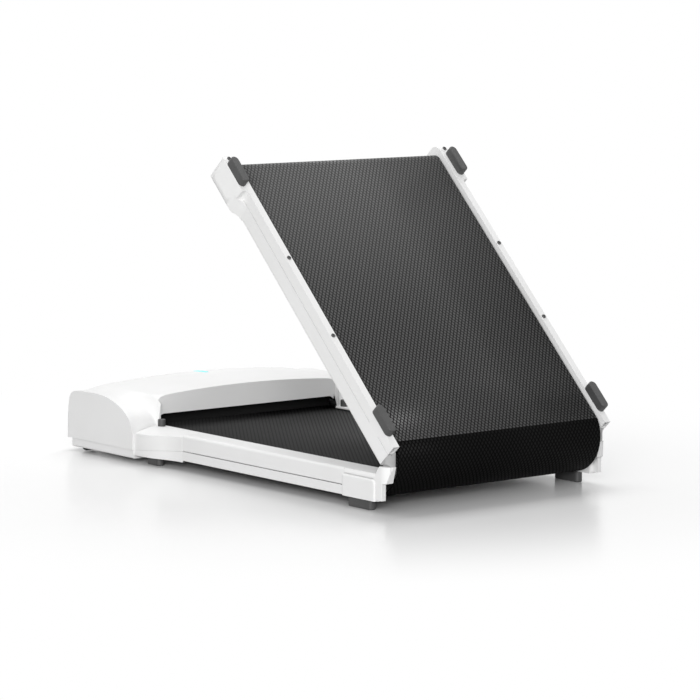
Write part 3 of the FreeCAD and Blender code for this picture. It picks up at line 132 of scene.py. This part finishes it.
class Graph:
    def __init__(self, tree):
        self.tree = tree

    def node(self, kind, settings=None, inputs=None, output=0):
        made = self.tree.nodes.new(kind)
        for key, setting in (settings or {}).items():
            setattr(made, key, setting)
        for socket, value in (inputs or {}).items():
            self.feed(made.inputs[socket], value)
        return Value(self, made.outputs[output])

    def feed(self, socket, value):
        if isinstance(value, Value):
            self.tree.links.new(value.socket, socket)
        else:
            socket.default_value = value

    def plain_ray(self):
        """1 on rays of the camera, of gloss and of glass, 0 on rays that only carry light."""
        rays = [self.node("ShaderNodeLightPath", output=name) for name in plain_rays]
        return rays[0].larger(rays[1]).larger(rays[2])


class Finish(Graph):
    def __init__(self, name, **constants):
        self.material = bpy.data.materials.new(name)
        self.material.use_nodes = True
        super().__init__(self.material.node_tree)
        self.shader = self.tree.nodes["Principled BSDF"]
        self.set(**constants)

    def set(self, **values):
        for socket, value in values.items():
            self.feed(self.shader.inputs[socket.replace("_", " ")], value)

    def place(self):
        return self.node("ShaderNodeTexCoord", output="Object")

    def split(self, vector):
        made = self.node("ShaderNodeSeparateXYZ", inputs={0: vector}).socket.node
        return [Value(self, socket) for socket in made.outputs]

    def noise(self, scale, detail=3.0, place=None):
        inputs = {"Vector": place or self.place(), "Scale": scale, "Detail": detail, "Roughness": 0.55}
        return self.node("ShaderNodeTexNoise", inputs=inputs)

    def blend(self, factor, first, second):
        settings = {"data_type": "RGBA"}
        return self.node("ShaderNodeMix", settings, {0: factor, 6: first, 7: second}, output=2)

    def bump(self, height, depth):
        """Raises the surface by height (0 to 1) times depth in metres."""
        inputs = {"Strength": 1.0, "Distance": depth, "Height": height}
        return self.node("ShaderNodeBump", inputs=inputs)


def grey(level, tint=(1.0, 1.0, 1.0)):
    return tuple(level * part for part in tint) + (1.0,)


# %% [markdown]
# ## Finishes
# The shell is white: moulded covers with a fine spark-eroded grain, and rails of painted steel with a
# smoother skin. Both vary a little in shade and gloss, as a moulding does, so that large faces don't
# look like paper.

# %% White mouldings and painted rails
def white_shell(name, level, gloss, fineness, depth, coat):
    finish = Finish(name, Coat_Roughness=0.25, Specular_IOR_Level=0.4)
    cloud = finish.noise(7.0, detail=2.0)
    grain = finish.noise(fineness, detail=2.0)
    shade = finish.blend(cloud.eased(0.3, 0.7), grey(level), grey(level * 0.97, (1.0, 1.0, 0.995)))
    finish.set(Base_Color=shade, Roughness=gloss + 0.08 * cloud + 0.05 * grain,
               Coat_Weight=coat * cloud, Normal=finish.bump(grain, depth))
    return finish.material


finishes = {
    "white_plastic": white_shell("white_moulding", level=0.84, gloss=0.42, fineness=2600.0,
                                 depth=0.00004, coat=0.1),
    "white_steel": white_shell("white_paint", level=0.83, gloss=0.34, fineness=900.0,
                               depth=0.00003, coat=0.3),
}
print("shell finishes:", list(finishes))


# %% [markdown]
# ## The belt's weave
# The belt is a dark coated fabric. Its face carries a lattice of raised lozenges about 10 mm long, in
# rows that are shifted by half a step, which reads as a carbon-like twill from a distance. The
# pattern has to follow the belt round its rollers, so it reads the belt's own UV map, in metres:
# across the belt and along its run. Its greys rise with height on the raised half. This is a painted
# sheen that stands in for the gleam of light towards the tail roller.

# %% Woven belt
weave_across = 0.00764
weave_along = 0.01015
thread_turns = 44.0  # radians in one step of the lattice: seven threads
# Painted sheen: between these heights the belt's greys rise by the factors below, in place of the gleam near the
# tail roller.
painted_sheen_heights = (0.22, 0.56)
painted_sheen_sunk, painted_sheen_raised = 3.6, 2.0  # times paler at the upper height: grooves, lozenges


def woven_belt(name, raised, sunk, sheen, relief):
    finish = Finish(name, Specular_IOR_Level=0.03, Coat_Roughness=0.36, Coat_IOR=1.65)
    across, along, _ = finish.split(finish.node("ShaderNodeUVMap", {"uv_map": "run"}))
    column = across / weave_across
    row = along / weave_along
    first = abs(((column + row) % 1.0) - 0.5)
    second = abs(((column - row) % 1.0) - 0.5)
    lozenge = first.smaller(second).eased(0.07, 0.24)
    ply = ((column + row) * thread_turns).sine() * ((column - row) * thread_turns).sine()
    thread = 0.5 + 0.5 * ply
    cloud = finish.noise(5.0, detail=2.0)
    # Painted sheen: paler with height on the raised half.
    _, _, height = finish.split(finish.place())
    painted_sheen = height.eased(*painted_sheen_heights)
    low = finish.blend(painted_sheen, grey(sunk), grey(sunk * painted_sheen_sunk))
    high = finish.blend(painted_sheen, grey(raised), grey(raised * painted_sheen_raised))
    colour = finish.blend(lozenge, low, high)
    finish.set(Base_Color=colour, Roughness=0.78 - 0.2 * lozenge + 0.06 * cloud,
               Coat_Weight=sheen * (lozenge * (0.8 + 0.1 * cloud + 0.1 * thread)),
               Normal=finish.bump(0.85 * lozenge + 0.15 * thread, relief))
    return finish.material


finishes["walking_belt"] = woven_belt("belt_weave", raised=0.068, sunk=0.018, sheen=0.4, relief=0.0003)
belt_walked = woven_belt("belt_weave_walked", raised=0.033, sunk=0.029, sheen=0.08, relief=0.00012)
# Painted shade: the outer turn at the fold is the same belt, made far darker because that turn lies in shade.
belt_painted_shade = woven_belt("belt_weave_painted_shade", raised=0.0055, sunk=0.001, sheen=0.035, relief=0.0003)
print("belt weave:", weave_across, "by", weave_along, "m")


# %% [markdown]
# ## Rubber, metal and the parts inside
# The feet are dark grey rubber with a faint shine. Steel pins and rollers are turned, so their grain
# runs round the axis; screws are darker, cast and extruded aluminium is paler and rougher. Decks are
# pressed board.

# %% Rubber and plastics
def matt(name, level, gloss, fineness, depth):
    finish = Finish(name, Specular_IOR_Level=0.4)
    cloud = finish.noise(30.0)
    grain = finish.noise(fineness)
    shade = finish.blend(cloud.eased(0.35, 0.7), grey(level), grey(level * 1.18))
    finish.set(Base_Color=shade, Roughness=gloss + 0.12 * cloud + 0.06 * grain,
               Normal=finish.bump(grain, depth))
    return finish.material


finishes["grey_rubber"] = matt("foot_rubber", level=0.06, gloss=0.36, fineness=1800.0, depth=0.00004)
# Painted shade: near-black, darker than any rubber, for the strip that stands in for the shadow in the belt's
# mouth.
finishes["shade_strip_black"] = matt("shade_strip_black", level=0.003, gloss=0.8, fineness=1500.0, depth=0.0001)
finishes["neck_grey"] = matt("neck_grey", level=0.36, gloss=0.4, fineness=1500.0, depth=0.00003)
finishes["cushion_rubber"] = matt("black_rubber", level=0.022, gloss=0.6, fineness=1500.0, depth=0.0001)
finishes["black_plastic"] = matt("black_moulding", level=0.02, gloss=0.38, fineness=2200.0,
                                 depth=0.00005)


# %% Metals
def brushed(name, level, gloss, stretch, tint=(1.0, 1.0, 1.0)):
    finish = Finish(name)
    turned = finish.node("ShaderNodeMapping", inputs={"Vector": finish.place(), "Scale": stretch})
    line = finish.noise(60.0, detail=4.0, place=turned)
    smear = finish.noise(25.0)
    shade = finish.blend(line, grey(level * 0.86, tint), grey(level, tint))
    finish.set(Base_Color=shade, Roughness=gloss + 0.12 * line + 0.08 * smear,
               Metallic=1.0 - 0.04 * smear, Normal=finish.bump(line, 0.00003))
    return finish.material


finishes["steel"] = brushed("turned_steel", level=0.62, gloss=0.26, stretch=(60.0, 1.0, 1.0))
finishes["dark_steel"] = brushed("dark_plate", level=0.1, gloss=0.45, stretch=(1.0, 8.0, 8.0))
finishes["aluminium"] = brushed("cast_alloy", level=0.72, gloss=0.36, stretch=(12.0, 2.0, 2.0),
                                tint=(1.0, 1.0, 1.02))
finishes["screw_steel"] = brushed("screw_steel", level=0.13, gloss=0.4, stretch=(4.0, 4.0, 4.0))
finishes["contact_brass"] = brushed("plated_brass", level=0.7, gloss=0.24, stretch=(2.0, 30.0, 2.0),
                                    tint=(1.0, 0.78, 0.42))


# %% Board, lens and deck
def circuit_board():
    finish = Finish("circuit_board", Specular_IOR_Level=0.5)
    lines = {"Vector": finish.place(), "Scale": 90.0, "Mortar Size": 0.08, "Mortar Smooth": 0.1}
    track = finish.node("ShaderNodeTexBrick", {"offset": 0.37, "squash": 0.6}, lines, output=1)
    speck = finish.noise(700.0)
    shade = finish.blend(track, (0.012, 0.075, 0.03, 1.0), (0.05, 0.2, 0.08, 1.0))
    finish.set(Base_Color=shade, Roughness=0.3 + 0.2 * speck, Normal=finish.bump(track, 0.00008))
    return finish.material


def light_lens():
    finish = Finish("teal_lens", Emission_Strength=0.55, Specular_IOR_Level=0.5)
    cell = finish.noise(220.0)
    glow = finish.blend(cell, (0.02, 0.5, 0.55, 1.0), (0.05, 0.68, 0.72, 1.0))
    finish.set(Base_Color=glow, Emission_Color=glow, Roughness=0.22 + 0.1 * cell)
    return finish.material


def pressed_board():
    finish = Finish("pressed_board", Specular_IOR_Level=0.3)
    fibre = finish.noise(420.0, detail=5.0)
    shade = finish.blend(fibre.eased(0.3, 0.7), (0.16, 0.09, 0.045, 1.0), (0.27, 0.17, 0.09, 1.0))
    finish.set(Base_Color=shade, Roughness=0.6 + 0.2 * fibre, Normal=finish.bump(fibre, 0.0002))
    return finish.material


finishes["board"] = circuit_board()
finishes["light_lens"] = light_lens()
finishes["deck_board"] = pressed_board()
print("finishes:", len(finishes))


# %% [markdown]
# ## From a CAD node to a moulded piece
# A CAD node arrives as loose triangles with knife-sharp edges. Real mouldings have a small radius on
# every edge, which catches a thin line of light. So a copy is merged, its flat areas are joined into
# single faces, and its sharp edges are bevelled. The copy then stands for the node.

# %% Copy, merge and soften
smooth_angle = math.radians(32)
sharp_angle = math.radians(28)
flat_angle = math.radians(0.6)
merge_distance = 0.000004


def merged_copy(node):
    shape = bmesh.new()
    shape.from_mesh(frame["nodes"][node].data)
    bmesh.ops.remove_doubles(shape, verts=shape.verts, dist=merge_distance)
    bmesh.ops.dissolve_limit(shape, angle_limit=flat_angle, verts=shape.verts, edges=shape.edges)
    return shape


def sharp_edges(shape):
    return [edge for edge in shape.edges
            if edge.is_manifold and edge.calc_face_angle(0) > sharp_angle]


def bevel(shape, edges, width):
    bmesh.ops.bevel(shape, geom=edges, offset=width, offset_type="OFFSET", affect="EDGES", segments=2,
                    profile=0.5, material=-1, clamp_overlap=True)


def piece_from(shape, name, body, slot, material=None):
    mesh = bpy.data.meshes.new(name)
    shape.to_mesh(mesh)
    shape.free()
    mesh.shade_smooth()
    mesh.set_sharp_from_angle(angle=smooth_angle)
    mesh.materials.append(material or finishes[slot])
    piece = bpy.data.objects.new(name, mesh)
    scene.collection.objects.link(piece)
    if body:
        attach(piece, body)
    return piece


def softened(node, width):
    shape = merged_copy(node)
    edges = sharp_edges(shape)
    if width:
        bevel(shape, edges, width)
    piece = piece_from(shape, node + "_shell", body_of[node], slot_of[node])
    piece.modifiers.new("weights", "WEIGHTED_NORMAL").keep_sharp = True
    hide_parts(node)
    print(node, "edges:", len(edges), "faces:", len(piece.data.polygons))
    return piece


# %% Shell pieces with soft edges
edge_widths = {
    "front_rail": 0.0006, "front_rail_cover": 0.0008, "rear_rail": 0.0006, "rear_rail_cover": 0.0008,
    "shoulder_cover": 0.0008, "hinge_block": 0.0007, "rear_end_cap": 0.0009, "hinge_arm": 0.0005,
}
for stem, width in edge_widths.items():
    for side in ("left", "right"):
        softened(stem + "_" + side, width)
for node, width in {"hood_cover": 0.0008, "hood_tray": 0.0008, "shoulder_bases": 0.0007}.items():
    softened(node, width)


# %% [markdown]
# ## Hinge arms and the belt's mouth
# Each arm of the raised half ends in a white knuckle, which sits in the front half's cup; the neck
# above the cup's rim is grey. A near-black strip of painted shade closes the mouth through which the
# belt runs under the hood: it stands in for the shadow there and hides the parts inside.

# %% Grey necks and a strip of painted shade
cup_rise = 0.0126  # from the fold's axis to the cup's rim
shade_strip_size = (0.43, 0.003, 0.024)
shade_strip_setback = 0.045
shade_strip_lift = 0.0125
rim = joint_at["fold"].z + cup_rise
for side in ("left", "right"):
    mesh = bpy.data.objects["hinge_arm_" + side + "_shell"].data
    mesh.materials[0] = finishes["neck_grey"]
    mesh.materials.append(finishes["white_plastic"])
    for polygon in mesh.polygons:
        if max(mesh.vertices[index].co.z for index in polygon.vertices) < rim:
            polygon.material_index = 1

# A strip of painted shade in the mouth, set back behind the visor, in place of the shadow there.
shape = bmesh.new()
bmesh.ops.create_cube(shape, size=1.0)
bmesh.ops.scale(shape, vec=shade_strip_size, verts=shape.verts)
shade_strip_place = (0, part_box("hood_cover")[0].y + shade_strip_setback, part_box("belt_front")[1].z + shade_strip_lift)
bmesh.ops.translate(shape, vec=shade_strip_place, verts=shape.verts)
piece_from(shape, "mouth_shade_strip", "front", "cushion_rubber", finishes["shade_strip_black"])


# %% [markdown]
# ## Round and small pieces
# Feet, bumpers, screws, wheels and rollers are already rounded in the CAD, so their copies are only
# merged and shaded smooth.

# %% Smooth copies
smooth_nodes = [
    "hinge_feet", "front_feet", "rear_feet", "fold_bumpers", "front_screws", "rear_screws",
    "hinge_pins", "wheel_left", "wheel_right", "drive_roller", "rear_roller", "front_guide_roller",
    "rear_guide_roller", "status_light_lens", "power_inlet", "power_switch", "breaker_button",
    "rear_axle", "tension_bolts",
]
for node in smooth_nodes:
    piece = softened(node, 0)
    if node.endswith("screws"):
        piece.data.materials[0] = finishes["screw_steel"]


# %% [markdown]
# ## The walking belt
# The belt is one loop that runs round the drive roller in the hood and the tail roller of the raised
# half, and bends at the hinge. A strip is drawn as a maker would lay it: a straight edge across the
# belt is extruded along each straight run and spun about each roller. The rows are kept in order, so
# that the weave's UV map can measure the run from row to row. A Solidify modifier gives it thickness.

# %% A strip laid along runs and round rollers
fold_axis = joint_at["fold"]
drive_axis = joint_at["drive_spin"]
tail_axis = joint_at["rear_roller_spin"]
low_guide = joint_at["front_guide_spin"]
high_guide = joint_at["rear_guide_spin"]
front_low, front_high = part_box("belt_front")
belt_half = front_high.x
belt_thickness = 0.002
opened_by = math.radians(45.6)
bow_sag = 0.0105  # how far the outer run clears the fold's axis
straight_rows = 6
roller_rows = 18
short_rows = 3
bow_rows = 28
inner_rows = 14
X_AXIS = Vector((1, 0, 0))


class Strip:
    def __init__(self, y, z):
        self.shape = bmesh.new()
        ends = [self.shape.verts.new((side * belt_half, y, z)) for side in (-1, 1)]
        self.edge = self.shape.edges.new(ends)
        self.rows = [tuple(ends)]

    def extrude(self):
        """Draws the end edge out into a new row and returns the row's vertices, still in place."""
        made = bmesh.ops.extrude_edge_only(self.shape, edges=[self.edge])["geom"]
        verts = [item for item in made if isinstance(item, bmesh.types.BMVert)]
        self.edge = next(item for item in made if isinstance(item, bmesh.types.BMEdge)
                         and all(vert in verts for vert in item.verts))
        self.rows.append(tuple(sorted(verts, key=lambda vert: vert.co.x)))
        return verts

    def run(self, dy, dz, steps):
        for _ in range(steps):
            verts = self.extrude()
            bmesh.ops.translate(self.shape, verts=verts, vec=(0, dy / steps, dz / steps))
        return self

    def spin(self, centre, degrees, steps):
        turn = Matrix.Rotation(math.radians(degrees) / steps, 3, X_AXIS)
        for _ in range(steps):
            verts = self.extrude()
            bmesh.ops.rotate(self.shape, verts=verts, cent=(0, centre.y, centre.z), matrix=turn)
        return self

    def finish(self, name, start, material=None):
        """Writes the run into a UV map, thickens the strip and returns it and where its run ends."""
        run_at = {}
        length = start
        for index, row in enumerate(self.rows):
            if index:
                length += (row[0].co - self.rows[index - 1][0].co).length
            for vert in row:
                run_at[vert] = length
        layer = self.shape.loops.layers.uv.new("run")
        for face in self.shape.faces:
            for loop in face.loops:
                loop[layer].uv = (loop.vert.co.x, run_at[loop.vert])
        piece = piece_from(self.shape, name, None, "walking_belt", material)
        skin = piece.modifiers.new("thickness", "SOLIDIFY")
        skin.thickness = belt_thickness
        skin.offset = 0.0
        return piece, length


# %% Front loop, rear loop and the two runs across the fold
half = belt_thickness / 2
top_z = front_high.z - half
guide_y = low_guide.y
reach_front = drive_axis.y - guide_y
to_rear = Matrix.Rotation(opened_by, 3, X_AXIS)
rear_way = to_rear @ Vector((0, 1, 0))
tail_reach = (tail_axis - high_guide).dot(rear_way)
top_drop = fold_axis.z - top_z
arc = math.degrees(math.pi - opened_by)
to_hinge = guide_y - fold_axis.y

strip = Strip(guide_y, top_z)
strip.run(reach_front, 0, straight_rows).spin(drive_axis, -180, roller_rows)
strip.run(-reach_front, 0, straight_rows)
belt_front, run_end = strip.finish("walking_belt_front", 0.0, belt_walked)
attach(belt_front, "front")

middle = (low_guide + high_guide) / 2
bisector = Vector((0, math.cos(opened_by / 2), math.sin(opened_by / 2)))
along = (middle - fold_axis).dot(bisector)
spread = (high_guide - low_guide).length / 2
guide_turn = low_guide.z - front_low.z
bow_rise = along + bow_sag
bow = (spread ** 2 + bow_rise ** 2 - guide_turn ** 2) / (2 * (bow_rise - guide_turn))
bow_centre = fold_axis + (bow - bow_sag) * bisector
lean = math.degrees(math.atan2(spread, bow - bow_sag - along))
half_open = math.degrees(opened_by) / 2
first_turn = 90 - half_open - lean
strip = Strip(guide_y, front_low.z + half)
strip.spin(low_guide, -first_turn, short_rows).spin(bow_centre, -2 * lean, bow_rows)
strip.spin(high_guide, -first_turn, short_rows)
# The outer turn takes the weave darkened as painted shade.
fold_outer, run_end = strip.finish("walking_belt_fold_outer", run_end, belt_painted_shade)
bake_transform(fold_outer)

outer_start = high_guide + (guide_turn - half) * (to_rear @ Vector((0, 0, 1)))
strip = Strip(outer_start.y, outer_start.z)
strip.run(tail_reach * rear_way.y, tail_reach * rear_way.z, straight_rows)
strip.spin(tail_axis, -180, roller_rows)
strip.run(-tail_reach * rear_way.y, -tail_reach * rear_way.z, straight_rows)
belt_rear, run_end = strip.finish("walking_belt_rear", run_end)
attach(belt_rear, "rear")

inner_start = fold_axis + to_rear @ Vector((0, to_hinge, top_drop))
strip = Strip(inner_start.y, inner_start.z)
strip.run(-to_hinge * rear_way.y, -to_hinge * rear_way.z, short_rows)
strip.spin(fold_axis, arc, inner_rows).run(to_hinge, 0, short_rows)
fold_inner, run_end = strip.finish("walking_belt_fold_inner", run_end)
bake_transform(fold_inner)
for piece, node in ((belt_front, "belt_front"), (fold_outer, "belt_fold_outer"),
                    (belt_rear, "belt_rear"), (fold_inner, "belt_fold_inner")):
    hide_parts(node)
    low = min(vert.co.z for vert in piece.data.vertices)
    print(piece.name, "lowest point", round(low, 4))
print("belt loop:", round(run_end, 3), "m")


# %% [markdown]
# ## Parts inside
# The rest of the nodes sit inside the hood or under the belt. Their shapes are right as they are, so
# each only takes its finish.

# %% Finishes on the remaining nodes
for node, shown in frame["nodes"].items():
    shown.data.materials.clear()
    shown.data.materials.append(finishes[slot_of[node]])


# %% [markdown]
# ## Studio
# A pale floor that takes the shadow and a faint reflection, white all round for the camera, and three
# large soft lamps: one above, one on the walker's left and one behind the camera. The floor sends less
# light back to the pad than it shows the camera, so that the lower edges keep their shade.

# %% Floor
floor_shown = 0.94
floor_bounce = 0.3
white_from = (0.45, 1.05)
floor_half = 6.0


def studio_floor():
    finish = Finish("studio_floor", Specular_IOR_Level=0.4)
    x, y, _ = finish.split(finish.place())
    cloud = finish.noise(3.0)
    ray = finish.plain_ray()
    shade = finish.blend(ray, grey(floor_bounce), grey(floor_shown))
    finish.set(Base_Color=shade, Roughness=0.2 + 0.04 * cloud)
    far = ((x * x + y * y) ** 0.5).eased(*white_from)
    white = finish.node("ShaderNodeEmission", inputs={"Color": grey(1.0), "Strength": 1.0})
    shader = Value(finish, finish.shader.outputs[0])
    mixed = finish.node("ShaderNodeMixShader", inputs={0: far * ray, 1: shader, 2: white})
    finish.feed(finish.tree.nodes["Material Output"].inputs["Surface"], mixed)
    return finish.material


shape = bmesh.new()
bmesh.ops.create_grid(shape, x_segments=8, y_segments=8, size=floor_half)
mesh = bpy.data.meshes.new("studio_floor")
shape.to_mesh(mesh)
shape.free()
mesh.materials.append(studio_floor())
floor = bpy.data.objects.new("studio_floor", mesh)
scene.collection.objects.link(floor)

# %% World
room_light = 0.45
world = bpy.data.worlds.new("studio")
scene.world = world
world.use_nodes = True
sky = Graph(world.node_tree)
background = sky.tree.nodes["Background"]
background.inputs["Color"].default_value = grey(1.0)
levels = {"Value": sky.plain_ray(), "To Min": room_light, "To Max": 1.0}
sky.feed(background.inputs["Strength"], sky.node("ShaderNodeMapRange", inputs=levels))


# %% Lamps
def lamp(name, place, target, size, power):
    light = bpy.data.lights.new(name, "AREA")
    light.shape = "RECTANGLE"
    light.size, light.size_y = size
    light.energy = power
    shown = bpy.data.objects.new(name, light)
    shown.location = place
    shown.rotation_euler = (Vector(target) - Vector(place)).to_track_quat("-Z", "Y").to_euler()
    scene.collection.objects.link(shown)


lamp("overhead", (0.8, 1.1, 2.5), target=(0.8, 1.1, 0), size=(3.0, 1.6), power=46.0)
lamp("left_side", (-4.2, -2.0, 1.5), target=(0, 0, 0.2), size=(2.0, 1.6), power=34.0)
lamp("behind_camera", (-4.4, -4.9, 1.9), target=(0, 0, 0.2), size=(3.0, 1.8), power=260.0)

# %% [markdown]
# ## Camera
# The camera stands where the photograph was taken from: low, behind the hinge and to the walker's left,
# with a long lens. The lens is shifted a little, which places the pad in the frame.

# %% Camera
eye = Vector((-3.68234, -4.34872, 0.92059))
right = Vector((0.77168, -0.63594, 0.00987))
up = Vector((0.04957, 0.0756, 0.99591))
back = right.cross(up)
camera_data = bpy.data.cameras.new("studio_camera")
camera_data.lens = 174.563
camera_data.sensor_width = 36.0
camera_data.shift_x = 0.0783
camera_data.shift_y = -0.1749
camera_data.clip_end = 50.0
camera = bpy.data.objects.new("studio_camera", camera_data)
camera.matrix_world = Matrix((right, up, back)).transposed().to_4x4()
camera.location = eye
scene.collection.objects.link(camera)
scene.camera = camera
scene.view_settings.view_transform = "Standard"
